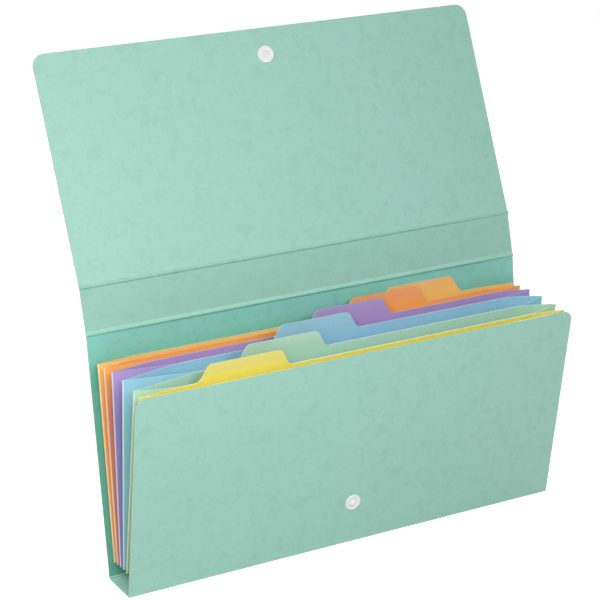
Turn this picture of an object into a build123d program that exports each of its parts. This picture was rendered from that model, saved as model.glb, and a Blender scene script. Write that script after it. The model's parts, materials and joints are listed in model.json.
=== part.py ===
"""Accordion file folder: a pressed-board cover, six card pockets and a press stud.

The folder stands open on its base strip, with its flap up and its pockets fanned.
X runs from side to side, +Y to the back, +Z up. The origin is the middle of the base
strip's underside. Lengths are in millimetres. A lean is an angle from upright in degrees,
positive towards the back.
"""
import math
import os

from build123d import *

# Cover sheet
COVER_WIDTH = 270.0  # side to side
COVER_THICKNESS = 0.6  # pressed board
BASE_DEPTH = 25.0  # outside, front to back
FRONT_HEIGHT = 119.0  # front crease to the front panel's free edge
BACK_RISE = 15.5  # back panel's upper crease above the front panel's height
FLAP_OVERRUN = 14.9  # flap past the socket's centre
FRONT_CORNER_RADIUS = 6.0
FLAP_CORNER_RADIUS = 6.8
BEAD_RADIUS = 0.8  # rolled bead along each crease, flush with the outer faces
CREASE_CLEARANCE = 0.1  # bead to the panel that turns about it
CUT_ROOM = 2.0  # cutters past the faces that they cut

# Leans of the cover as it stands open
FRONT_LEAN = -8.0
BACK_LEAN = 8.0
STRIP_LEAN = 15.2
FLAP_LEAN = 24.7

# Lean of the front panel when shut, over pockets that are pressed together at their mouths
SHUT_TAPER = 0.65

# Pockets, counted from the back
CARD_THICKNESS = 0.4  # walls
POCKET_RAISE = 8.5  # pocket floors above the rear crease
GUSSET_THICKNESS = 0.35  # thinner card of the bellows
GUSSET_PANEL = 24.2  # wall to the gusset's outer fold
GUSSET_INSET = 3.3  # outer folds behind the cover's side edges, when shut
FOLD_CLEARANCE = 0.12  # between two card faces that meet at a fold
FRONT_POCKET_GAP = 0.8  # last wall to the front panel, when shut
LEAF_LEANS = (6.5, 3.9, 0.2, -5.4, -9.2, -9.5)  # front wall of each pocket
POCKET_COUNT = len(LEAF_LEANS)
# Glued neighbours have sprung apart at their upper left corners. The parted card swings out
# with the gussets, so each pair's walls end this far in at the mouth: back panel and first
# rear wall, then each front wall and the rear wall that it carries, then the last front wall.
LEFT_PARTINGS = (0.0, 3.0, 8.0, 15.0, 20.0, 4.0, 0.0)

# Index tabs, stepped from one side to the other
TAB_HEIGHT = 10.0
TAB_TOP_WIDTH = 42.6
TAB_BASE_WIDTH = 53.1
TAB_MARGIN = 10.2  # outermost tabs to the wall's side edges
TAB_TOP_RADIUS = 4.0
TAB_BASE_RADIUS = 5.0

# Press stud
STUD_HEIGHT = 25.5  # above the front crease
STUD_RADIUS = 4.75
STUD_FLANGE = 0.8
STUD_POST_RADIUS = 1.8
STUD_POST_HEIGHT = 1.0  # above the stud's flange
STUD_RIM = 0.9  # width of the raised rim round each half
STUD_DISH = 0.45  # depth of the dish inside the rim
SOCKET_HEIGHT = 1.6
SOCKET_GROOVE = 0.5  # depth of the groove between the socket's rim and collar
SOCKET_COLLAR_RADIUS = 2.9
SOCKET_FLOOR = 0.25  # under the hole that the post snaps into
POST_CLEARANCE = 0.2
STACK_CLEARANCE = 0.1  # stud's flange to the socket's face, when shut
PIN_RADIUS = 0.9
PIN_CLEARANCE = 0.05
RIVET_RADIUS = 5.25
RIVET_DOME = 1.0
RIVET_EDGE = 0.3
RIVET_PLATE = 0.5
EDGE_ROUND = 0.25

# Sizes that follow from those above
crease_y = BASE_DEPTH / 2 - BEAD_RADIUS
inner_face = BEAD_RADIUS - COVER_THICKNESS  # crease line to a panel's inner face
back_height = FRONT_HEIGHT + BACK_RISE
stud_gap = STUD_FLANGE + STACK_CLEARANCE + SOCKET_HEIGHT  # board to board, when shut
crease_gap = 2 * crease_y  # between the lower creases
taper_sine = math.sin(math.radians(SHUT_TAPER))
taper_cosine = math.cos(math.radians(SHUT_TAPER))
# The flap is parallel to the front panel when shut, and the socket then meets the stud.
flap_offset = stud_gap + COVER_THICKNESS - back_height * taper_sine
strip_depth = crease_gap + flap_offset / taper_cosine
upper_reach = back_height * taper_cosine + (crease_gap - strip_depth) * taper_sine
socket_reach = upper_reach - STUD_HEIGHT  # upper crease to the socket's centre
flap_length = socket_reach + FLAP_OVERRUN
fold_line = COVER_WIDTH / 2 - GUSSET_INSET  # gussets' outer folds, when shut
edge_line = fold_line - GUSSET_PANEL  # gussets' start beside the walls
wall_width = 2 * (edge_line - FOLD_CLEARANCE)
wall_height = FRONT_HEIGHT - POCKET_RAISE
shut_depth = BASE_DEPTH - 2 * COVER_THICKNESS - FRONT_POCKET_GAP
shut_gap = shut_depth / POCKET_COUNT - 2 * CARD_THICKNESS  # inside a shut pocket
tab_step = (wall_width - 2 * TAB_MARGIN - TAB_BASE_WIDTH) / (POCKET_COUNT - 1)


def standing(foot: Vector, lean: float) -> Location:
    """Place of what stands on a crease at foot with the given lean."""
    return Pos(foot.X, foot.Y, foot.Z) * Rot(-lean, 0, 0)


def seen_from(place: Location, y: float, z: float) -> Vector:
    """Point at depth y and height z of a piece that stands at a place."""
    return (place * Pos(0, y, z)).position


# Places of the cover's panels
base_rear = Vector(0, crease_y, BEAD_RADIUS)
base_front = Vector(0, -crease_y, BEAD_RADIUS)
back_place = standing(base_rear, BACK_LEAN)
front_place = standing(base_front, FRONT_LEAN)
strip_place = standing(seen_from(back_place, 0, back_height), STRIP_LEAN)
flap_place = standing(seen_from(strip_place, 0, strip_depth), FLAP_LEAN)

# Places of the pockets' walls. A rear wall is glued on by its rear face, a front wall
# turns about its foot, and each front wall carries the next pocket's rear wall.
next_foot = -CARD_THICKNESS - shut_gap - CARD_THICKNESS / 2
rear_places = [back_place * Pos(0, inner_face, POCKET_RAISE)]
front_places = []
for leaf_lean in LEAF_LEANS:
    front_places.append(standing(seen_from(rear_places[-1], next_foot, 0), leaf_lean))
    rear_places.append(front_places[-1] * Pos(0, -CARD_THICKNESS / 2, 0))


def along_crease(radius: float, length: float) -> Part:
    """Rod along a crease line."""
    return Cylinder(radius, length, rotation=(0, 90, 0))


def base_strip() -> Part:
    """Floor of the folder, flat below, with a bead along each edge."""
    floor = Box(
        COVER_WIDTH,
        BASE_DEPTH,
        COVER_THICKNESS,
        align=(Align.CENTER, Align.CENTER, Align.MIN),
    )
    bead = along_crease(BEAD_RADIUS, COVER_WIDTH)
    return floor + Pos(*base_rear) * bead + Pos(*base_front) * bead


def cover_panel(length: float, corner_radius: float = 0.0, bead: bool = False) -> Part:
    """Panel that stands on a crease at the origin, with its outer face to the back.

    Its foot is hollowed to turn about the bead of the panel before it. Its far end is
    either a free edge with round corners or the next crease's bead.
    """
    outline = Rectangle(COVER_WIDTH, length, align=(Align.CENTER, Align.MIN))
    if corner_radius > 0:
        outline = fillet(outline.vertices().group_by(Axis.Y)[-1], corner_radius)
    sheet = Pos(0, BEAD_RADIUS, 0) * extrude(Plane.XZ * outline, COVER_THICKNESS)
    sheet -= along_crease(BEAD_RADIUS + CREASE_CLEARANCE, COVER_WIDTH + CUT_ROOM)
    if bead:
        sheet += Pos(0, 0, length) * along_crease(BEAD_RADIUS, COVER_WIDTH)
    return sheet


def pin_hole(height: float) -> Part:
    """Hole through a panel for a rivet's pin."""
    return Pos(0, 0, height) * Cylinder(
        PIN_RADIUS + PIN_CLEARANCE, 2 * BEAD_RADIUS + CUT_ROOM, rotation=(90, 0, 0)
    )


def wall_outline(parting: float, tab_centre: float | None = None) -> Sketch:
    """Front view of a pocket wall, with an index tab if it has one."""
    side = wall_width / 2
    sheet = [(-side, 0), (side, 0), (side, wall_height), (parting - side, wall_height)]
    outline = Sketch() + make_face(Polyline(*sheet, close=True))
    if tab_centre is None:
        return outline
    shoulder = wall_height
    top = wall_height + TAB_HEIGHT
    corners = [
        (tab_centre - TAB_BASE_WIDTH / 2, shoulder),
        (tab_centre + TAB_BASE_WIDTH / 2, shoulder),
        (tab_centre + TAB_TOP_WIDTH / 2, top),
        (tab_centre - TAB_TOP_WIDTH / 2, top),
    ]
    outline += make_face(Polyline(*corners, close=True))
    shoulder_points = outline.vertices().group_by(Axis.Y)[-2].sort_by(Axis.X)
    outline = fillet(shoulder_points[1:-1], TAB_BASE_RADIUS)
    tips = outline.vertices().group_by(Axis.Y)[-1]
    return fillet(tips, TAB_TOP_RADIUS)


def front_wall(parting: float) -> Part:
    """Plain wall whose foot is at the origin, in the middle of its thickness."""
    sheet = extrude(Plane.XZ * wall_outline(parting), CARD_THICKNESS)
    return Pos(0, CARD_THICKNESS / 2, 0) * sheet


def rear_wall(parting: float, tab_centre: float) -> Part:
    """Wall with a tab, glued on by its rear face, and its foot folded forward as a floor."""
    wall = extrude(Plane.XZ * wall_outline(parting, tab_centre), CARD_THICKNESS)
    floor = Box(
        wall_width,
        CARD_THICKNESS + shut_gap - FOLD_CLEARANCE,
        CARD_THICKNESS,
        align=(Align.CENTER, Align.MAX, Align.CENTER),
    )
    folded = wall + floor
    lowest = folded.edges().filter_by(Axis.X).group_by(Axis.Z)[0]
    return fillet(lowest.sort_by(Axis.Y)[-1], CARD_THICKNESS / 2)


def gusset_section(rear: Vector, front: Vector, side: int) -> Face:
    """Level cut through a gusset, from a rear and a front wall's edge on the right."""
    rear_panel = fold_line - rear.X
    front_panel = fold_line - front.X
    mouth = Vector(front.X - rear.X, front.Y - rear.Y)
    along = mouth.normalized()
    to_foot = (rear_panel**2 - front_panel**2 + mouth.length**2) / (2 * mouth.length)
    reach = math.sqrt(rear_panel**2 - to_foot**2)
    fold = rear + along * to_foot + Vector(-along.Y, along.X) * reach
    half = GUSSET_THICKNESS / 2
    rear_out = Vector(rear.Y - fold.Y, fold.X - rear.X).normalized()
    front_out = Vector(fold.Y - front.Y, front.X - fold.X).normalized()
    corners = [
        rear + rear_out * half,
        fold + rear_out * half,
        fold + front_out * half,
        front + front_out * half,
        front - front_out * half,
        fold - (rear_out + front_out) * (half / (1 + rear_out.dot(front_out))),
        rear - rear_out * half,
    ]
    tilt = (rear.Z - front.Z) / (rear.Y - front.Y)
    points = [Vector(side * c.X, c.Y, front.Z + tilt * (c.Y - front.Y)) for c in corners]
    return make_face(Polyline(*points, close=True)).face()


def gusset(pocket: int, side: int) -> Part:
    """Bellows panel pair, a narrow V at the pocket's floor and a wide one at its mouth."""
    partings = LEFT_PARTINGS[pocket : pocket + 2] if side < 0 else (0.0, 0.0)
    sections = []
    for height in (0.0, wall_height):
        rear_x, front_x = (edge_line - p * height / wall_height for p in partings)
        rear = seen_from(rear_places[pocket], -CARD_THICKNESS / 2, height)
        front = seen_from(front_places[pocket], 0, height)
        rear_edge = Vector(rear_x, rear.Y, rear.Z)
        front_edge = Vector(front_x, front.Y, front.Z)
        sections.append(gusset_section(rear_edge, front_edge, side))
    return Part() + loft(sections, ruled=True)


def turned(profile: list[tuple[float, float]]) -> Part:
    """Round piece from its half profile of radius and height."""
    return revolve(make_face(Plane.XZ * Polyline(*profile, close=True)), Axis.Z)


def front_stud() -> Part:
    """Stud half: a rimmed flange with a round-nosed post, bored from below for the pin."""
    rim_in = STUD_RADIUS - STUD_RIM
    dish = STUD_FLANGE - STUD_DISH
    top = STUD_FLANGE + STUD_POST_HEIGHT
    bore = PIN_RADIUS + PIN_CLEARANCE
    profile = [
        (bore, 0),
        (STUD_RADIUS, 0),
        (STUD_RADIUS, STUD_FLANGE - EDGE_ROUND),
        (STUD_RADIUS - EDGE_ROUND, STUD_FLANGE),
        (rim_in, STUD_FLANGE),
        (rim_in - STUD_DISH, dish),
        (STUD_POST_RADIUS, dish),
        (STUD_POST_RADIUS, top - 2 * EDGE_ROUND),
        (STUD_POST_RADIUS - 2 * EDGE_ROUND, top),
        (0, top),
        (0, STUD_FLANGE),
        (bore, STUD_FLANGE),
    ]
    return turned(profile)


def flap_socket() -> Part:
    """Socket half: a rimmed cap with a collar round the hole that the post snaps into."""
    rim_in = STUD_RADIUS - STUD_RIM
    groove = SOCKET_HEIGHT - SOCKET_GROOVE
    hole = STUD_POST_RADIUS + POST_CLEARANCE
    bore = PIN_RADIUS + PIN_CLEARANCE
    profile = [
        (bore, 0),
        (STUD_RADIUS, 0),
        (STUD_RADIUS, SOCKET_HEIGHT - EDGE_ROUND),
        (STUD_RADIUS - EDGE_ROUND, SOCKET_HEIGHT),
        (rim_in, SOCKET_HEIGHT),
        (rim_in, groove),
        (SOCKET_COLLAR_RADIUS, groove),
        (SOCKET_COLLAR_RADIUS, SOCKET_HEIGHT),
        (hole, SOCKET_HEIGHT),
        (hole, SOCKET_FLOOR),
        (bore, SOCKET_FLOOR),
    ]
    return turned(profile)


def flap_rivet() -> Part:
    """Domed cap outside the flap, with the pin that holds the socket."""
    rise = RIVET_DOME - RIVET_EDGE
    crown_radius = (RIVET_RADIUS**2 + rise**2) / (2 * rise)
    crown = Pos(0, 0, RIVET_DOME - crown_radius) * Sphere(crown_radius)
    disc = Cylinder(RIVET_RADIUS, RIVET_DOME, align=(Align.CENTER, Align.CENTER, Align.MIN))
    cap = disc & crown
    return cap + rivet_pin(COVER_THICKNESS + SOCKET_FLOOR)


def front_rivet() -> Part:
    """Flat cap inside the front panel, with the pin that holds the stud."""
    plate = Cylinder(STUD_RADIUS, RIVET_PLATE, align=(Align.CENTER, Align.CENTER, Align.MIN))
    return plate + rivet_pin(COVER_THICKNESS + STUD_FLANGE - PIN_CLEARANCE)


def rivet_pin(length: float) -> Part:
    """Pin that goes down from a rivet's cap."""
    return Cylinder(PIN_RADIUS, length, align=(Align.CENTER, Align.CENTER, Align.MAX))


def on_face(y: float, height: float, facing: int) -> Location:
    """Seat on a panel's face for a turned piece that faces the back (1) or the front (-1)."""
    return Pos(0, y, height) * Rot(-90 * facing, 0, 0)


def build_cover() -> dict[str, Part]:
    """The five panels of the cover."""
    # A half turn about Z puts the front panel's outer face to the front.
    front = Rot(0, 0, 180) * cover_panel(FRONT_HEIGHT, FRONT_CORNER_RADIUS)
    flap = cover_panel(flap_length, FLAP_CORNER_RADIUS)
    return {
        "base_strip": base_strip(),
        "front_panel": front_place * (front - pin_hole(STUD_HEIGHT)),
        "back_panel": back_place * cover_panel(back_height, bead=True),
        "top_strip": strip_place * cover_panel(strip_depth, bead=True),
        "flap": flap_place * (flap - pin_hole(socket_reach)),
    }


def build_stud() -> dict[str, Part]:
    """The press stud's two halves and their rivets."""
    return {
        "flap_socket": flap_place * on_face(inner_face, socket_reach, -1) * flap_socket(),
        "flap_rivet": flap_place * on_face(BEAD_RADIUS, socket_reach, 1) * flap_rivet(),
        "front_stud": front_place * on_face(-BEAD_RADIUS, STUD_HEIGHT, -1) * front_stud(),
        "front_rivet": front_place * on_face(-inner_face, STUD_HEIGHT, 1) * front_rivet(),
    }


def build_pocket(pocket: int) -> dict[str, Part]:
    """One pocket's walls and gussets, 0 for the rearmost."""
    name = f"pocket_{pocket + 1}"
    tab_centre = tab_step * ((POCKET_COUNT - 1) / 2 - pocket)
    rear_parting, front_parting = LEFT_PARTINGS[pocket : pocket + 2]
    return {
        f"{name}_rear_wall": rear_places[pocket] * rear_wall(rear_parting, tab_centre),
        f"{name}_front_wall": front_places[pocket] * front_wall(front_parting),
        f"{name}_left_gusset": gusset(pocket, -1),
        f"{name}_right_gusset": gusset(pocket, 1),
    }


def main() -> None:
    """Build every piece and write one file for each."""
    pieces = build_cover() | build_stud()
    for pocket in range(POCKET_COUNT):
        pieces |= build_pocket(pocket)
    os.makedirs("parts", exist_ok=True)
    for name, piece in pieces.items():
        export_step(piece, os.path.join("parts", f"{name}.step"))


if __name__ == "__main__":
    main()
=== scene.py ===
"""Accordion file folder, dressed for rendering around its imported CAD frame.

Lengths are in metres in the frame of the CAD model: X from side to side, +Y to the back,
+Z up, with the origin in the middle of the base strip's underside. A lean is an angle from
upright in degrees, positive towards the back.
"""

import json
import logging
import math
from dataclasses import dataclass, field
from enum import Enum

import bpy
from mathutils import Matrix, Vector


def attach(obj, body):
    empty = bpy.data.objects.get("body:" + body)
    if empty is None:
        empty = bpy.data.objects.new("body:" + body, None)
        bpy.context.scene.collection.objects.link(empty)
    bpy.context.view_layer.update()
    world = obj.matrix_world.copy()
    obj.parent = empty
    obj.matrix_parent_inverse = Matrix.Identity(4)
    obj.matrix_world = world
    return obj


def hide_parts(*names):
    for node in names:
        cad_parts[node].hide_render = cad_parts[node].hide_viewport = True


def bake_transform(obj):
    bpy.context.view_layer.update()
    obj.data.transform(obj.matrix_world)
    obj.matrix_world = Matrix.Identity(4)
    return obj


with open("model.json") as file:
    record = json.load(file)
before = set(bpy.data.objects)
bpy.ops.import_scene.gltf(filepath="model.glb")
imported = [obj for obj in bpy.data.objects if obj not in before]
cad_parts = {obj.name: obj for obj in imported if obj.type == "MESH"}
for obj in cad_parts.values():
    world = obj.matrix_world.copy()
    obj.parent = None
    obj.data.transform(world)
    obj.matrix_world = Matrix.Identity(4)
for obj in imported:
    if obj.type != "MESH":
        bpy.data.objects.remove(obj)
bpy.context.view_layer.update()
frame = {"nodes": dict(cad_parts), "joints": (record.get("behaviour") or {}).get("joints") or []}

log = logging.getLogger("file_folder")

MM = 0.001
NEAR = 0.05 * MM  # points this close are taken as one
FOLD_NEAR = "fold_near"  # attribute of the gussets: 1 at the outer fold, 0 at FOLD_REACH from it
FOLD_REACH = 24.0 * MM
SMOOTH_ANGLE = math.radians(40)  # faces that meet at less than this are shaded as one curve
SENSOR = 36.0  # width of the camera's sensor in millimetres
WHITE = (1.0, 1.0, 1.0, 1.0)


class Side(Enum):
    """Side of the folder, with its sign along X."""

    LEFT = -1
    RIGHT = 1


class Placing(Enum):
    """How a panel of the cover is placed, which tells its broad faces from its cut edges and picks its
    painted light and shade.
    """

    LYING = "lying"
    STANDING = "standing"
    RAISED = "raised"
    SPINE = "spine"
    SHELTERED = "sheltered"
    RIDGE = "ridge"


class Card(Enum):
    """Colours of a pocket's card, from the back."""

    # Per card: slot, bellows colour with painted shade, walls, tab colour with painted light, core
    LIGHT_ORANGE = ("light_orange_card", "#FFB75F", "#FFCB71", "#FDC679", "#FFF0CE")
    ORANGE = ("orange_card", "#E88F70", "#FFAF5D", "#FAAC6E", "#FFE6CC")
    PURPLE = ("purple_card", "#9990C5", "#B89DD6", "#B79ED2", "#EADDF5")
    BLUE = ("blue_card", "#94CDDA", "#9FD3E9", "#A2D0E1", "#E2F3F8")
    GREEN = ("green_card", "#B4D6A0", "#BDE6CF", "#B9DFC9", "#ECFAEE")
    YELLOW = ("yellow_card", "#E0D050", "#FAED67", "#E7DC7C", "#FFF8D2")

    def __init__(self, slot: str, painted_bellows_shade: str, face: str, painted_tab_light: str, core: str) -> None:
        """Name the colours.

        Args:
            slot: The card's material slot in the record.
            painted_bellows_shade: Colour of its bellows below the mouth, darker as painted shade.
            face: Colour of its walls.
            painted_tab_light: Colour of its tab, paler as painted light.
            core: Colour inside, seen at cut edges.
        """
        self.slot = slot
        self.painted_bellows_shade = painted_bellows_shade
        self.face = face
        self.painted_tab_light = painted_tab_light
        self.core = core


def linear(colour: str) -> tuple[float, float, float, float]:
    """Turn an sRGB hex colour into linear light.

    Args:
        colour: The colour as #RRGGBB.

    Returns:
        Linear red, green, blue and an alpha of 1.
    """
    parts = [int(colour[i : i + 2], 16) / 255 for i in (1, 3, 5)]
    light = [p / 12.92 if p <= 0.04045 else ((p + 0.055) / 1.055) ** 2.4 for p in parts]
    return (light[0], light[1], light[2], 1.0)


def add_node(
    tree: bpy.types.NodeTree, kind: str, settings: dict | None = None, links: dict | None = None
) -> bpy.types.Node:
    """Add a node with its settings and links.

    Args:
        tree: The tree that gets the node.
        kind: The node's type.
        settings: Values by the name of an attribute, or by an input's name or number.
        links: Sockets that feed the node, by an input's name or number.

    Returns:
        The new node.
    """
    node = tree.nodes.new(kind)
    for name, value in (settings or {}).items():
        if isinstance(name, str) and hasattr(node, name):
            setattr(node, name, value)
        else:
            node.inputs[name].default_value = value
    for name, source in (links or {}).items():
        tree.links.new(source, node.inputs[name])
    return node


def new_material(name: str) -> tuple[bpy.types.Material, bpy.types.NodeTree]:
    """Start a material with an empty node tree.

    Args:
        name: The material's name.

    Returns:
        The material and its tree.
    """
    material = bpy.data.materials.new(name)
    material.use_nodes = True
    material.node_tree.nodes.clear()
    return material, material.node_tree


def dress(piece: bpy.types.Object, material: bpy.types.Material) -> None:
    """Give a piece one material in place of those that it has."""
    piece.data.materials.clear()
    piece.data.materials.append(material)


def draw_wire(name: str, points: list[Vector]) -> bpy.types.Object:
    """Start a piece as a line from point to point.

    Args:
        name: The piece's name.
        points: The line's points.

    Returns:
        The piece in edit mode, with all of the line selected.
    """
    bpy.ops.object.select_all(action="DESELECT")
    bpy.ops.mesh.primitive_plane_add(size=MM)
    wire = bpy.context.object
    wire.name = name
    bpy.ops.object.mode_set(mode="EDIT")
    bpy.ops.mesh.select_mode(type="VERT")
    bpy.ops.mesh.select_all(action="SELECT")
    bpy.ops.mesh.merge(type="CENTER")
    bpy.ops.transform.translate(value=points[0])
    for here, there in zip(points, points[1:]):
        bpy.ops.mesh.extrude_region_move(TRANSFORM_OT_translate={"value": there - here})
    bpy.ops.mesh.select_all(action="SELECT")
    return wire


def select_line(piece: bpy.types.Object, start: Vector, end: Vector) -> None:
    """Select the vertices on a line in edit mode, with the edges between them.

    Args:
        piece: The object in edit mode.
        start: The line's first point.
        end: The line's last point, the same as the first for a single vertex.
    """
    bpy.ops.mesh.select_mode(type="VERT")
    bpy.ops.mesh.select_all(action="DESELECT")
    bpy.ops.object.mode_set(mode="OBJECT")
    along = end - start
    length = along.length
    for vertex in piece.data.vertices:
        step = vertex.co - start
        share = 0.0 if length < NEAR else min(max(step.dot(along) / length**2, 0.0), 1.0)
        vertex.select = (step - along * share).length < NEAR
    bpy.ops.object.mode_set(mode="EDIT")


def select_upright(piece: bpy.types.Object, least: float) -> None:
    """Select the edges in edit mode that rise by at least a given height.

    Args:
        piece: The object in edit mode.
        least: The least rise.
    """
    bpy.ops.mesh.select_mode(type="EDGE")
    bpy.ops.mesh.select_all(action="DESELECT")
    bpy.ops.object.mode_set(mode="OBJECT")
    points = piece.data.vertices
    for edge in piece.data.edges:
        a, b = (points[i].co for i in edge.vertices)
        edge.select = abs(a.z - b.z) > least
    bpy.ops.object.mode_set(mode="EDIT")


def crease_place(name: str) -> tuple[float, float, float]:
    """Find the middle of a crease by the name of its joint."""
    return next(tuple(j["pos_m"]) for j in frame["joints"] if j["name"] == name)


def direction(azimuth: float, elevation: float) -> Vector:
    """Find the direction in which a lamp or the camera stands, as seen from the folder.

    Args:
        azimuth: Angle from straight in front in degrees, positive to the right.
        elevation: Angle above the floor in degrees.

    Returns:
        The direction, with a length of 1.
    """
    a, e = math.radians(azimuth), math.radians(elevation)
    return Vector((math.sin(a) * math.cos(e), -math.cos(a) * math.cos(e), math.sin(e)))


@dataclass(frozen=True)
class PressedBoard:
    """Glazed pressed board: dyed pulp, rolled smooth, with darker clouds of fibre and a satin shine."""

    face: str = "#97C6B7"
    cloud: str = "#8AB9AA"
    edge: str = "#A9D2C3"
    # Painted shade: a greyer tone for the cut edges of the flap and spine, standing in for edges in
    # shade
    painted_edge_shade: str = "#95B7AB"
    # Painted highlight: a paler tone for the rolled ridges of the upper creases
    painted_ridge_highlight: str = "#A0D1C1"
    # Painted light: a paler tone for the base strip's upward face, and how much of it shows
    floor: str = "#B4F0DE"
    painted_floor_light_share: float = 0.8
    # Painted shade: tints that multiply the colour of an inner face, and where the darker one ends
    # Painted shade: a tint that darkens the spine's inner face a little
    pressed: str = "#F5F8F6"
    painted_shade_tint: str = "#DCFFFF"
    painted_darker_shade_tint: str = "#ACEBDE"
    darker_shade_below: float = 110.0 * MM
    lighter_shade_above: float = 128.0 * MM
    # Sizes of the pulp's clouds, flecks and fibres; the fibres are drawn coarser than real, to show
    cloud_size: float = 7.0 * MM
    fleck_size: float = 2.8 * MM
    fibre_size: float = 0.5 * MM
    # Where a cloud or fleck starts and is full in its noise, and its share of the clouds' tone there
    cloud_range: tuple[float, float] = (0.46, 0.74)
    cloud_share: float = 0.5
    fleck_range: tuple[float, float] = (0.56, 0.8)
    fleck_share: float = 0.55
    # How far a normal turns to the side or up where a face ends and a cut edge begins
    cut_range: tuple[float, float] = (0.6, 0.75)
    roughness: float = 0.48
    shine_spread: float = 0.06

    def paint_inner_shade(self, tree: bpy.types.NodeTree, place: bpy.types.Node) -> bpy.types.NodeSocket:
        """Paint shade, with a green cast of bounced light, on the inner face.

        Args:
            tree: The material's tree.
            place: Its texture coordinates.

        Returns:
            A painted shade tint for the inner face, darkest low down behind the pockets.
        """
        level = add_node(tree, "ShaderNodeSeparateXYZ", None, {0: place.outputs["Object"]})
        painted_light_share = add_node(
            tree,
            "ShaderNodeMapRange",
            {
                "interpolation_type": "SMOOTHSTEP",
                "From Min": self.darker_shade_below,
                "From Max": self.lighter_shade_above,
            },
            {"Value": level.outputs["Z"]},
        )
        tint = add_node(
            tree,
            "ShaderNodeMix",
            {"data_type": "RGBA", 6: linear(self.painted_darker_shade_tint), 7: linear(self.painted_shade_tint)},
            {0: painted_light_share.outputs[0]},
        )
        return tint.outputs[2]

    def mottle(
        self, tree: bpy.types.NodeTree, place: bpy.types.Node, clouds: bpy.types.Node
    ) -> bpy.types.NodeSocket:
        """Scatter clouds and flecks of fibre over the board.

        Args:
            tree: The material's tree.
            place: Its texture coordinates.
            clouds: Its cloud pattern.

        Returns:
            The share of the clouds' tone.
        """
        flecks = add_node(
            tree,
            "ShaderNodeTexNoise",
            {"Scale": 1 / self.fleck_size, "Detail": 1.0, "Roughness": 0.5, "Distortion": 1.0},
            {"Vector": place.outputs["Object"]},
        )
        shares = [
            add_node(
                tree,
                "ShaderNodeMapRange",
                {
                    "interpolation_type": "SMOOTHSTEP",
                    "From Min": start,
                    "From Max": full,
                    "To Max": most,
                },
                {"Value": pattern.outputs["Fac"]},
            )
            for pattern, (start, full), most in (
                (clouds, self.cloud_range, self.cloud_share),
                (flecks, self.fleck_range, self.fleck_share),
            )
        ]
        stronger = add_node(
            tree,
            "ShaderNodeMath",
            {"operation": "MAXIMUM"},
            {0: shares[0].outputs[0], 1: shares[1].outputs[0]},
        )
        return stronger.outputs[0]

    def tone_inside(
        self,
        tree: bpy.types.NodeTree,
        place: bpy.types.Node,
        face: bpy.types.NodeSocket,
        placing: Placing,
    ) -> bpy.types.NodeSocket:
        """Paint light and shade on the face that looks into the folder.

        Args:
            tree: The material's tree.
            place: Its texture coordinates.
            face: The colour of the board's faces.
            placing: How the panel is placed.

        Returns:
            The faces' colour, with painted light on the base strip's upper face and painted shade
            inside the spine and back panel.
        """
        facing = add_node(tree, "ShaderNodeSeparateXYZ", None, {0: place.outputs["Normal"]})
        # Painted light: the base strip's upward face is painted paler
        if placing is Placing.LYING:
            upward = add_node(
                tree,
                "ShaderNodeMapRange",
                {"From Min": 0.4, "From Max": 0.6, "To Max": self.painted_floor_light_share},
                {"Value": facing.outputs["Z"]},
            )
            face = add_node(
                tree,
                "ShaderNodeMix",
                {"data_type": "RGBA", 7: linear(self.floor)},
                {0: upward.outputs[0], 6: face},
            ).outputs[2]
        # Painted shade: the inner faces of the spine and back panel are darkened
        if placing in (Placing.SPINE, Placing.SHELTERED):
            inside = add_node(
                tree,
                "ShaderNodeMath",
                {"operation": "LESS_THAN", 1: -0.5},
                {0: facing.outputs["Y"]},
            )
            toned = add_node(
                tree,
                "ShaderNodeMix",
                {"data_type": "RGBA", "blend_type": "MULTIPLY", 7: linear(self.pressed)},
                {0: inside.outputs[0], 6: face},
            )
            # Painted shade: the back panel's inner face darkens low down, behind the pockets
            if placing is Placing.SHELTERED:
                tree.links.new(self.paint_inner_shade(tree, place), toned.inputs[7])
            face = toned.outputs[2]
        return face

    def cut_edges(
        self, tree: bpy.types.NodeTree, place: bpy.types.Node, placing: Placing
    ) -> bpy.types.NodeSocket:
        """Find the panel's cut edges.

        Args:
            tree: The material's tree.
            place: Its texture coordinates.
            placing: How the panel is placed.

        Returns:
            A share that is 1 on a cut edge and 0 on a face.
        """
        facing = add_node(tree, "ShaderNodeSeparateXYZ", None, {0: place.outputs["Normal"]})
        edgewise = add_node(
            tree, "ShaderNodeMath", {"operation": "ABSOLUTE"}, {0: facing.outputs["X"]}
        )
        if placing not in (Placing.LYING, Placing.RIDGE):
            edgewise = add_node(
                tree,
                "ShaderNodeMath",
                {"operation": "MAXIMUM"},
                {0: edgewise.outputs[0], 1: facing.outputs["Z"]},
            )
        start, full = self.cut_range
        cut = add_node(
            tree,
            "ShaderNodeMapRange",
            {"interpolation_type": "SMOOTHSTEP", "From Min": start, "From Max": full},
            {"Value": edgewise.outputs[0]},
        )
        return cut.outputs[0]

    def material(self, placing: Placing) -> bpy.types.Material:
        """Make the board's material.

        Args:
            placing: How the panel is placed. A lying one has painted light on its upper face,
                a raised one has cut edges greyed as painted shade, the spine between two creases
                has them too and painted shade inside, the back panel has painted shade inside
                that darkens low down, and a ridge has a painted highlight.

        Returns:
            The material, with cut edges of their own tone.
        """
        material, tree = new_material(f"pressed_board_{placing.value}")
        place = add_node(tree, "ShaderNodeTexCoord")
        clouds = add_node(
            tree,
            "ShaderNodeTexNoise",
            {"Scale": 1 / self.cloud_size, "Detail": 2.0, "Roughness": 0.6, "Distortion": 0.6},
            {"Vector": place.outputs["Object"]},
        )
        plain, cloud = self.face, self.cloud
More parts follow.
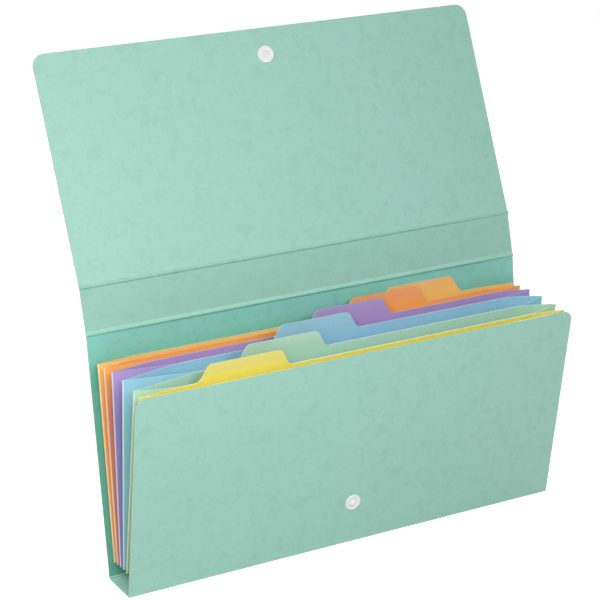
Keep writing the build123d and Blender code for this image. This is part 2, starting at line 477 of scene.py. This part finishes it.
        # Painted highlight: the ridge is paler than the panels
        if placing is Placing.RIDGE:
            plain, cloud = self.painted_ridge_highlight, self.face
        face = add_node(
            tree,
            "ShaderNodeMix",
            {"data_type": "RGBA", 6: linear(plain), 7: linear(cloud)},
            {0: self.mottle(tree, place, clouds)},
        )
        # Painted shade: the flap and spine get greyer cut edges
        rim = self.painted_edge_shade if placing in (Placing.RAISED, Placing.SPINE) else self.edge
        colour = add_node(
            tree,
            "ShaderNodeMix",
            {"data_type": "RGBA", 7: linear(rim)},
            {
                0: self.cut_edges(tree, place, placing),
                6: self.tone_inside(tree, place, face.outputs[2], placing),
            },
        )
        fibres = add_node(
            tree,
            "ShaderNodeTexNoise",
            {"Scale": 1 / self.fibre_size, "Detail": 2.0},
            {"Vector": place.outputs["Object"]},
        )
        bump = add_node(
            tree,
            "ShaderNodeBump",
            {"Strength": 0.06, "Distance": 0.03 * MM},
            {"Height": fibres.outputs["Fac"]},
        )
        shine = add_node(
            tree,
            "ShaderNodeMapRange",
            {
                "To Min": self.roughness - self.shine_spread,
                "To Max": self.roughness + self.shine_spread,
            },
            {"Value": clouds.outputs["Fac"]},
        )
        surface = add_node(
            tree,
            "ShaderNodeBsdfPrincipled",
            {"IOR": 1.5},
            {
                "Base Color": colour.outputs[2],
                "Roughness": shine.outputs[0],
                "Normal": bump.outputs[0],
            },
        )
        add_node(tree, "ShaderNodeOutputMaterial", None, {"Surface": surface.outputs[0]})
        return material


@dataclass(frozen=True)
class CardStock:
    """Dyed card: uncoated, matt and slightly see-through.

    The tabs that stand out of the pockets are painted paler as painted light, the bellows darker
    low down as painted shade, and the card is paler where it is cut or folded.
    """

    name: str
    low: str
    high: str
    core: str
    # Heights between which the low colour gives way to the high one, as painted light and shade
    fade_from: float
    fade_to: float
    fibre_size: float = 0.7 * MM  # drawn coarser than real fibres, to show
    fibre_tone: float = 0.04
    roughness: float = 0.75
    glow: float = 0.1
    # How far a normal is along Y where a face ends and a cut edge begins
    cut_range: tuple[float, float] = (0.75, 0.4)
    edges_above: float = 30.0 * MM
    # Distances from a gusset's fold to where wear begins and where the core is bare
    wear_width: float = 1.2 * MM
    bare_width: float = 0.5 * MM

    @classmethod
    def wall(cls, card: Card) -> "CardStock":
        """Take a pocket's walls, whose tabs are painted paler as painted light."""
        tones = (card.slot, card.face, card.painted_tab_light, card.core)
        return cls(*tones, fade_from=118.5 * MM, fade_to=126.0 * MM)

    @classmethod
    def bellows(cls, card: Card) -> "CardStock":
        """Take a pocket's gussets, painted darker below the mouth as painted shade."""
        tones = (f"{card.slot}_bellows", card.painted_bellows_shade, card.face, card.core)
        return cls(*tones, fade_from=92.0 * MM, fade_to=118.0 * MM)

    def dye_and_painted_light(
        self, tree: bpy.types.NodeTree, place: bpy.types.Node, fibres: bpy.types.Node
    ) -> bpy.types.NodeSocket:
        """Colour the card's faces.

        Args:
            tree: The material's tree.
            place: Its texture coordinates.
            fibres: Its fibre pattern.

        Returns:
            The faces' colour, lighter towards the top: painted light on the tabs, painted shade low on
            the bellows.
        """
        level = add_node(tree, "ShaderNodeSeparateXYZ", None, {0: place.outputs["Object"]})
        painted_light_share = add_node(
            tree,
            "ShaderNodeMapRange",
            {
                "interpolation_type": "SMOOTHSTEP",
                "From Min": self.fade_from,
                "From Max": self.fade_to,
            },
            {"Value": level.outputs["Z"]},
        )
        dyed = add_node(
            tree,
            "ShaderNodeMix",
            {"data_type": "RGBA", 6: linear(self.low), 7: linear(self.high)},
            {0: painted_light_share.outputs[0]},
        )
        tone = add_node(
            tree,
            "ShaderNodeMapRange",
            {
                "From Min": 0.3,
                "From Max": 0.7,
                "To Min": 1 - self.fibre_tone,
                "To Max": 1 + self.fibre_tone,
            },
            {"Value": fibres.outputs["Fac"]},
        )
        face = add_node(
            tree,
            "ShaderNodeHueSaturation",
            None,
            {"Color": dyed.outputs[2], "Value": tone.outputs[0]},
        )
        return face.outputs[0]

    def bared(self, tree: bpy.types.NodeTree, place: bpy.types.Node) -> bpy.types.NodeSocket:
        """Find where the card's pale core shows.

        Args:
            tree: The material's tree.
            place: Its texture coordinates.

        Returns:
            A share that is highest on the walls' upper cut edges and the gussets' folds.
        """
        facing = add_node(tree, "ShaderNodeSeparateXYZ", None, {0: place.outputs["Normal"]})
        level = add_node(tree, "ShaderNodeSeparateXYZ", None, {0: place.outputs["Object"]})
        broad = add_node(
            tree, "ShaderNodeMath", {"operation": "ABSOLUTE"}, {0: facing.outputs["Y"]}
        )
        start, full = self.cut_range
        cut = add_node(
            tree,
            "ShaderNodeMapRange",
            {"interpolation_type": "SMOOTHSTEP", "From Min": start, "From Max": full},
            {"Value": broad.outputs[0]},
        )
        high = add_node(
            tree,
            "ShaderNodeMath",
            {"operation": "GREATER_THAN", 1: self.edges_above},
            {0: level.outputs["Z"]},
        )
        edges = add_node(
            tree,
            "ShaderNodeMath",
            {"operation": "MULTIPLY"},
            {0: cut.outputs[0], 1: high.outputs[0]},
        )
        near = add_node(tree, "ShaderNodeAttribute", {"attribute_name": FOLD_NEAR})
        wear = add_node(
            tree,
            "ShaderNodeMapRange",
            {
                "interpolation_type": "SMOOTHSTEP",
                "From Min": 1 - self.wear_width / FOLD_REACH,
                "From Max": 1 - self.bare_width / FOLD_REACH,
            },
            {"Value": near.outputs["Fac"]},
        )
        shown = add_node(
            tree,
            "ShaderNodeMath",
            {"operation": "MAXIMUM"},
            {0: edges.outputs[0], 1: wear.outputs[0]},
        )
        return shown.outputs[0]

    def material(self) -> bpy.types.Material:
        """Make the card's material.

        Returns:
            The material, softly lit through by what is behind it.
        """
        material, tree = new_material(self.name)
        place = add_node(tree, "ShaderNodeTexCoord")
        fibres = add_node(
            tree,
            "ShaderNodeTexNoise",
            {"Scale": 1 / self.fibre_size, "Detail": 3.0, "Roughness": 0.6},
            {"Vector": place.outputs["Object"]},
        )
        colour = add_node(
            tree,
            "ShaderNodeMix",
            {"data_type": "RGBA", 7: linear(self.core)},
            {0: self.bared(tree, place), 6: self.dye_and_painted_light(tree, place, fibres)},
        )
        bump = add_node(
            tree,
            "ShaderNodeBump",
            {"Strength": 0.15, "Distance": 0.03 * MM},
            {"Height": fibres.outputs["Fac"]},
        )
        surface = add_node(
            tree,
            "ShaderNodeBsdfPrincipled",
            {"IOR": 1.45, "Roughness": self.roughness, "Specular IOR Level": 0.3},
            {"Base Color": colour.outputs[2], "Normal": bump.outputs[0]},
        )
        through = add_node(
            tree, "ShaderNodeBsdfTranslucent", None, {"Color": colour.outputs[2]}
        )
        sheet = add_node(
            tree,
            "ShaderNodeMixShader",
            {0: self.glow},
            {1: surface.outputs[0], 2: through.outputs[0]},
        )
        add_node(tree, "ShaderNodeOutputMaterial", None, {"Surface": sheet.outputs[0]})
        return material


@dataclass(frozen=True)
class StudPlastic:
    """Moulded natural polypropylene: milky, softly see-through, with a satin moulded skin."""

    milk: str = "#EBE9EA"
    milkiness: float = 0.5
    glow_depth: float = 0.8 * MM
    skin_size: float = 0.4 * MM
    roughness: float = 0.32
    shine_spread: float = 0.08

    def material(self) -> bpy.types.Material:
        """Make the stud's material.

        Returns:
            The material, which light enters and softens in.
        """
        material, tree = new_material("stud_plastic")
        place = add_node(tree, "ShaderNodeTexCoord")
        skin = add_node(
            tree,
            "ShaderNodeTexNoise",
            {"Scale": 1 / self.skin_size, "Detail": 2.0},
            {"Vector": place.outputs["Object"]},
        )
        shine = add_node(
            tree,
            "ShaderNodeMapRange",
            {
                "To Min": self.roughness - self.shine_spread,
                "To Max": self.roughness + self.shine_spread,
            },
            {"Value": skin.outputs["Fac"]},
        )
        surface = add_node(
            tree,
            "ShaderNodeBsdfPrincipled",
            {
                "Base Color": linear(self.milk),
                "IOR": 1.49,
                "Subsurface Weight": self.milkiness,
                "Subsurface Radius": (1.0, 1.0, 1.0),
                "Subsurface Scale": self.glow_depth,
            },
            {"Roughness": shine.outputs[0]},
        )
        add_node(tree, "ShaderNodeOutputMaterial", None, {"Surface": surface.outputs[0]})
        return material


@dataclass
class Cover:
    """The cover's five panels, scored from one sheet of pressed board."""

    panels: tuple[tuple[str, Placing], ...] = (
        ("base_strip", Placing.LYING),
        ("front_panel", Placing.STANDING),
        ("flap", Placing.RAISED),
        ("top_strip", Placing.SPINE),
        ("back_panel", Placing.SHELTERED),
    )
    board: PressedBoard = field(default_factory=PressedBoard)

    def build(self) -> None:
        """Dress the panels."""
        for name, placing in self.panels:
            dress(frame["nodes"][name], self.board.material(placing))
            log.info("dressed %s", name)


@dataclass
class CreaseRoll:
    """The ridge that the board rolls up along an upper crease, on the folder's inner side.

    It turns with the panel above the crease, round the bead of the panel below.
    """

    body: str
    crease: str
    lean: float
    length: float = 269.6 * MM
    # Radii of the hollow that clears the bead and of the roll over it
    bead: float = 0.83 * MM
    roll: float = 1.0 * MM
    # How far the ridge's back lies behind the crease, and how far it runs up the panel
    root: float = 0.22 * MM
    rise: float = 2.1 * MM
    # Angles of the lip and of where the roll leaves the bead, in degrees as in arc
    lip: float = 166.0
    leave: float = 122.0
    steps: int = 8
    board: PressedBoard = field(default_factory=PressedBoard)

    def section(self) -> list[Vector]:
        """Find the ridge's outline across the crease.

        Returns:
            Points round the bead to the lip, back over the roll, and up to run out on the panel.
        """
        start = math.degrees(math.acos(self.root / self.bead))
        hollow = self.arc(self.bead, start, self.lip)
        rolled = self.arc(self.roll, self.lip, self.leave)
        last, top = rolled[-1], Vector((0, self.root, self.rise))
        bend = Vector((0, self.root, last.z - (self.root - last.y) * last.y / last.z))
        slope = []
        for i in range(1, self.steps + 1):
            share = i / self.steps
            slope.append(last.lerp(bend, share).lerp(bend.lerp(top, share), share))
        return hollow + rolled + slope

    def arc(self, radius: float, start: float, end: float) -> list[Vector]:
        """Find points on an arc about the crease.

        Args:
            radius: The arc's radius.
            start: Angle of its first point in degrees, from behind over the top.
            end: Angle of its last point.

        Returns:
            The points, across the crease.
        """
        turns = [math.radians(start + (end - start) * i / self.steps) for i in range(self.steps + 1)]
        return [Vector((0, math.cos(t), math.sin(t))) * radius for t in turns]

    def build(self) -> None:
        """Roll the ridge and let it turn with its panel."""
        turn = Matrix.Rotation(-math.radians(self.lean), 3, "X")
        start = Vector(crease_place(self.crease)) - Vector((self.length / 2, 0, 0))
        ridge = draw_wire(f"{self.crease}_ridge", [start + turn @ p for p in self.section()])
        bpy.ops.mesh.edge_face_add()
        bpy.ops.mesh.select_all(action="SELECT")
        bpy.ops.mesh.extrude_region_move(
            TRANSFORM_OT_translate={"value": Vector((self.length, 0, 0))}
        )
        bpy.ops.mesh.select_all(action="SELECT")
        bpy.ops.mesh.normals_make_consistent(inside=False)
        bpy.ops.object.mode_set(mode="OBJECT")
        bpy.ops.object.shade_smooth_by_angle(angle=SMOOTH_ANGLE)
        # The ridge's board carries a painted highlight
        dress(ridge, self.board.material(Placing.RIDGE))
        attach(ridge, self.body)
        log.info("rolled %s", ridge.name)


@dataclass
class PressStud:
    """The press stud's two halves and their rivets."""

    pieces: tuple[str, ...] = ("flap_socket", "flap_rivet", "front_stud", "front_rivet")
    plastic: StudPlastic = field(default_factory=StudPlastic)

    def build(self) -> None:
        """Dress the stud's pieces."""
        material = self.plastic.material()
        for name in self.pieces:
            dress(frame["nodes"][name], material)
            log.info("dressed %s", name)


@dataclass
class Leaf:
    """A wall that leans on a crease, whose upper left corner has parted from its neighbour."""

    body: str
    crease: str
    lean: float
    parting: float
    depth: float = 0.0  # how far the wall lies behind its crease
    raised: float = 0.0  # how far the pocket's floor lies above it

    def point(self, x: float, height: float) -> Vector:
        """Find a point on the wall.

        Args:
            x: Place along the folder's width.
            height: Distance up the wall from the pocket's floor.

        Returns:
            The point in the CAD frame.
        """
        foot = crease_place(self.crease)
        angle = math.radians(self.lean)
        up = height + self.raised
        y = foot[1] + self.depth * math.cos(angle) + up * math.sin(angle)
        z = foot[2] - self.depth * math.sin(angle) + up * math.cos(angle)
        return Vector((x, y, z))


@dataclass
class Pocket:
    """One card pocket: two walls, and a bellows gusset at each side."""

    number: int
    card: Card
    rear: Leaf
    front: Leaf
    wall_height: float = 110.5 * MM
    wall_edge: float = 107.38 * MM
    fold_line: float = 132.1 * MM  # reach of the outer fold at the mouth, when pressed flat
    foot_flare: float = 0.6 * MM  # what it reaches further at the foot
    thickness: float = 0.35 * MM
    bend: float = 6.0 * MM
    bend_round: float = 5.4 * MM
    bend_steps: int = 6
    fold_round: float = 0.6 * MM
    fold_steps: int = 3
    rows: int = 11
    blend_span: float = 1.25  # length of the blend between the walls, in widths of the mouth

    def section(self, side: Side, height: float) -> list[Vector]:
        """Find the corners of a level cut through a gusset.

        Args:
            side: Side of the folder.
            height: Distance up the walls.

        Returns:
            The rear wall's edge, a bend, the outer fold, a bend and the front wall's edge.
        """
        share = height / self.wall_height
        parted = share if side is Side.LEFT else 0.0
        rear = self.rear.point(self.wall_edge - self.rear.parting * parted, height)
        front = self.front.point(self.wall_edge - self.front.parting * parted, height)
        mouth = front - rear
        fold_line = self.fold_line + self.foot_flare * (1 - share)
        rear_panel = fold_line - rear.x
        front_panel = fold_line - front.x
        width = math.hypot(mouth.x, mouth.y)
        along = (rear_panel**2 - front_panel**2 + width**2) / (2 * width)
        reach = math.sqrt(rear_panel**2 - along**2)
        fold = rear + (mouth * along + Vector((-mouth.y, mouth.x, 0)) * reach) / width
        fold.z = rear.z + (fold.y - rear.y) * mouth.z / mouth.y
        outward = Vector((self.bend, 0, 0))
        corners = [rear, rear + outward, fold, front + outward, front]
        return [Vector((side.value * c.x, c.y, c.z)) for c in corners]

    def gusset(self, side: Side, material: bpy.types.Material) -> bpy.types.Object:
        """Fold one gusset from a strip of card.

        Args:
            side: Side of the folder.
            material: The card's material.

        Returns:
            The finished sheet.
        """
        low = self.section(side, 0.0)
        high = self.section(side, self.wall_height)
        sheet = draw_wire(f"pocket_{self.number}_{side.name.lower()}_bellows", low)
        rise = high[0] - low[0]
        bpy.ops.mesh.extrude_region_move(TRANSFORM_OT_translate={"value": rise})
        for here, there in zip(low, high):
            select_line(sheet, here + rise, here + rise)
            bpy.ops.transform.translate(value=there - here - rise)
        for corner, offset, segments in (
            (1, self.bend_round, self.bend_steps),
            (3, self.bend_round, self.bend_steps),
            (2, self.fold_round, self.fold_steps),
        ):
            select_line(sheet, low[corner], high[corner])
            bpy.ops.mesh.bevel(offset=offset, segments=segments, affect="EDGES")
        select_upright(sheet, self.wall_height / 2)
        bpy.ops.mesh.subdivide(number_cuts=self.rows)
        bpy.ops.mesh.select_all(action="SELECT")
        bpy.ops.mesh.normals_make_consistent(inside=False)
        bpy.ops.object.mode_set(mode="OBJECT")
        self.mark_fold(sheet, low[2], high[2])
        solid = sheet.modifiers.new("card", "SOLIDIFY")
        solid.thickness = self.thickness
        solid.offset = 0.0
        bpy.ops.object.modifier_apply(modifier=solid.name)
        bpy.ops.object.shade_smooth_by_angle(angle=SMOOTH_ANGLE)
        dress(sheet, material)
        self.follow_walls(sheet)
        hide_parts(f"pocket_{self.number}_{side.name.lower()}_gusset")
        return sheet

    def mark_fold(self, sheet: bpy.types.Object, start: Vector, end: Vector) -> None:
        """Store how near each point is to the outer fold, as the wear of the card there.

        Args:
            sheet: The gusset, in object mode.
            start: The fold's lower end.
            end: The fold's upper end.
        """
        near = sheet.data.attributes.new(FOLD_NEAR, "FLOAT", "POINT")
        along = (end - start).normalized()
        for vertex in sheet.data.vertices:
            away = (vertex.co - start).cross(along).length
            near.data[vertex.index].value = 1 - away / FOLD_REACH

    def follow_walls(
        self, sheet: bpy.types.Object
    ) -> None:
        """Bake the gusset's placing into its mesh.

        Args:
            sheet: The finished gusset.
        """
        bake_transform(sheet)

    def build(self) -> None:
        """Dress the walls and fold the gussets."""
        # The walls' tabs are painted paler, as painted light
        card = CardStock.wall(self.card).material()
        for wall in ("rear", "front"):
            name = f"pocket_{self.number}_{wall}_wall"
            dress(frame["nodes"][name], card)
            log.info("dressed %s", name)
        # The bellows are painted darker below the mouth, as painted shade
        bellows = CardStock.bellows(self.card).material()
        for side in Side:
            log.info("folded %s", self.gusset(side, bellows).name)


@dataclass
class Lamp:
    """A soft square lamp that faces the folder."""

    name: str
    azimuth: float
    elevation: float
    distance: float
    size: float
    power: float

    def build(self, target: Vector) -> None:
        """Hang the lamp.

        Args:
            target: The point that it faces.
        """
        back = direction(self.azimuth, self.elevation)
        bpy.ops.object.light_add(type="AREA", location=target + back * self.distance)
        lamp = bpy.context.object
        lamp.name = self.name
        lamp.rotation_mode = "QUATERNION"
        lamp.rotation_quaternion = (-back).to_track_quat("-Z", "Y")
        lamp.data.size = self.size
        lamp.data.energy = self.power


@dataclass
class Studio:
    """Pale floor, soft light and the camera at the photograph's angle."""

    floor_size: float = 12.0
    floor_lit: float = 0.8  # how much light the floor throws back at the folder
    # What the camera sees of the floor: paper that takes the shadow, and a white glow
    floor_shade: float = 0.35
    floor_white: float = 0.95
    sky: float = 0.15
    azimuth: float = -29.8
    elevation: float = 21.59
    roll: float = 0.18
    distance: float = 1098.9 * MM
    target: tuple[float, float, float] = (-18.4 * MM, -2.6 * MM, 109.2 * MM)
    lens: float = 122.37
    shift: tuple[float, float] = (-0.02, 0.10)
    lamps: tuple[Lamp, ...] = (
        Lamp("key", azimuth=-37.0, elevation=31.0, distance=0.66, size=0.36, power=1.95),
        Lamp("right", azimuth=9.0, elevation=32.0, distance=0.85, size=0.1, power=1.4),
        Lamp("top", azimuth=-14.0, elevation=50.0, distance=0.8, size=0.5, power=1.25),
        Lamp("front", azimuth=-24.0, elevation=18.0, distance=0.45, size=0.3, power=0.22),
        Lamp("left", azimuth=-85.0, elevation=35.0, distance=0.6, size=0.25, power=0.3),
        Lamp("left_rear", azimuth=-118.0, elevation=16.0, distance=0.7, size=0.3, power=0.55),
        Lamp("right_rear", azimuth=118.0, elevation=16.0, distance=0.7, size=0.3, power=0.7),
        Lamp("back", azimuth=155.0, elevation=28.0, distance=1.1, size=0.5, power=6.5),
    )

    def rays_shown(self, tree: bpy.types.NodeTree) -> bpy.types.NodeSocket:
        """Tell rays that show the background from rays that light the folder.

        Args:
            tree: The tree that asks.

        Returns:
            A socket that is 1 for camera, glossy and transmission rays.
        """
        path = add_node(tree, "ShaderNodeLightPath")
        seen = path.outputs["Is Camera Ray"]
        for kind in ("Is Glossy Ray", "Is Transmission Ray"):
            seen = add_node(
                tree, "ShaderNodeMath", {"operation": "MAXIMUM"}, {0: seen, 1: path.outputs[kind]}
            ).outputs[0]
        return seen

    def build_floor(self) -> None:
        """Lay the floor, white to the camera but for the folder's soft shadow."""
        bpy.ops.object.select_all(action="DESELECT")
        bpy.ops.mesh.primitive_plane_add(size=self.floor_size)
        floor = bpy.context.object
        floor.name = "floor"
        material, tree = new_material("floor_paper")
        lit, shade = (
            add_node(tree, "ShaderNodeBsdfDiffuse", {"Color": (grey, grey, grey, 1.0)})
            for grey in (self.floor_lit, self.floor_shade)
        )
        white = add_node(tree, "ShaderNodeEmission", {"Strength": self.floor_white})
        seen = add_node(
            tree, "ShaderNodeAddShader", None, {0: shade.outputs[0], 1: white.outputs[0]}
        )
        mix = add_node(
            tree,
            "ShaderNodeMixShader",
            None,
            {0: self.rays_shown(tree), 1: lit.outputs[0], 2: seen.outputs[0]},
        )
        add_node(tree, "ShaderNodeOutputMaterial", None, {"Surface": mix.outputs[0]})
        dress(floor, material)

    def build_sky(self) -> None:
        """Surround the folder with soft light, white where the camera sees it."""
        world = bpy.data.worlds.new("studio")
        world.use_nodes = True
        bpy.context.scene.world = world
        tree = world.node_tree
        tree.nodes.clear()
        glow, white = (
            add_node(tree, "ShaderNodeBackground", {"Color": WHITE, "Strength": strength})
            for strength in (self.sky, 1.0)
        )
        mix = add_node(
            tree,
            "ShaderNodeMixShader",
            None,
            {0: self.rays_shown(tree), 1: glow.outputs[0], 2: white.outputs[0]},
        )
        add_node(tree, "ShaderNodeOutputWorld", None, {"Surface": mix.outputs[0]})

    def build_camera(self) -> None:
        """Set the camera at the photograph's viewing angle."""
        back = direction(self.azimuth, self.elevation)
        right = Vector((0, 0, 1)).cross(back).normalized()
        up = back.cross(right)
        turn = Matrix((right, up, back)).transposed() @ Matrix.Rotation(
            math.radians(self.roll), 3, "Z"
        )
        bpy.ops.object.camera_add()
        camera = bpy.context.object
        camera.matrix_world = Matrix.Translation(
            Vector(self.target) + back * self.distance
        ) @ turn.to_4x4()
        camera.data.lens = self.lens
        camera.data.sensor_width = SENSOR
        camera.data.shift_x, camera.data.shift_y = self.shift
        bpy.context.scene.camera = camera

    def build(self) -> None:
        """Set up floor, light and camera."""
        self.build_floor()
        self.build_sky()
        for lamp in self.lamps:
            lamp.build(Vector(self.target))
        self.build_camera()
        bpy.context.scene.view_settings.view_transform = "Standard"
        log.info("set up the studio")


def pockets() -> list[Pocket]:
    """List the pockets from the back.

    Returns:
        The pockets, with the leans and the parted corners of the CAD model.
    """
    leans = (6.5, 3.9, 0.2, -5.4, -9.2, -9.5)
    partings = (3.0, 8.0, 15.0, 20.0, 4.0, 0.0)
    card = 0.4 * MM
    fronts = [
        Leaf(f"leaf_{k}", f"leaf_{k}_fold", lean, parting * MM)
        for k, (lean, parting) in enumerate(zip(leans, partings), 1)
    ]
    back = Leaf("back", "back_fold", lean=8.0, parting=0.0, raised=8.5 * MM)
    rears = [back] + [Leaf(f.body, f.crease, f.lean, f.parting, depth=-card) for f in fronts]
    return [
        Pocket(k, colour, rear, front)
        for k, (colour, rear, front) in enumerate(zip(Card, rears, fronts), 1)
    ]


def main() -> None:
    """Build the folder's sub-assemblies and the studio in order."""
    logging.basicConfig(level=logging.INFO, format="%(name)s: %(message)s")
    Cover().build()
    CreaseRoll("top", "top_fold", lean=15.2).build()
    CreaseRoll("flap", "flap_fold", lean=24.7).build()
    PressStud().build()
    for pocket in pockets():
        pocket.build()
    Studio().build()


if __name__ == "__main__":
    main()
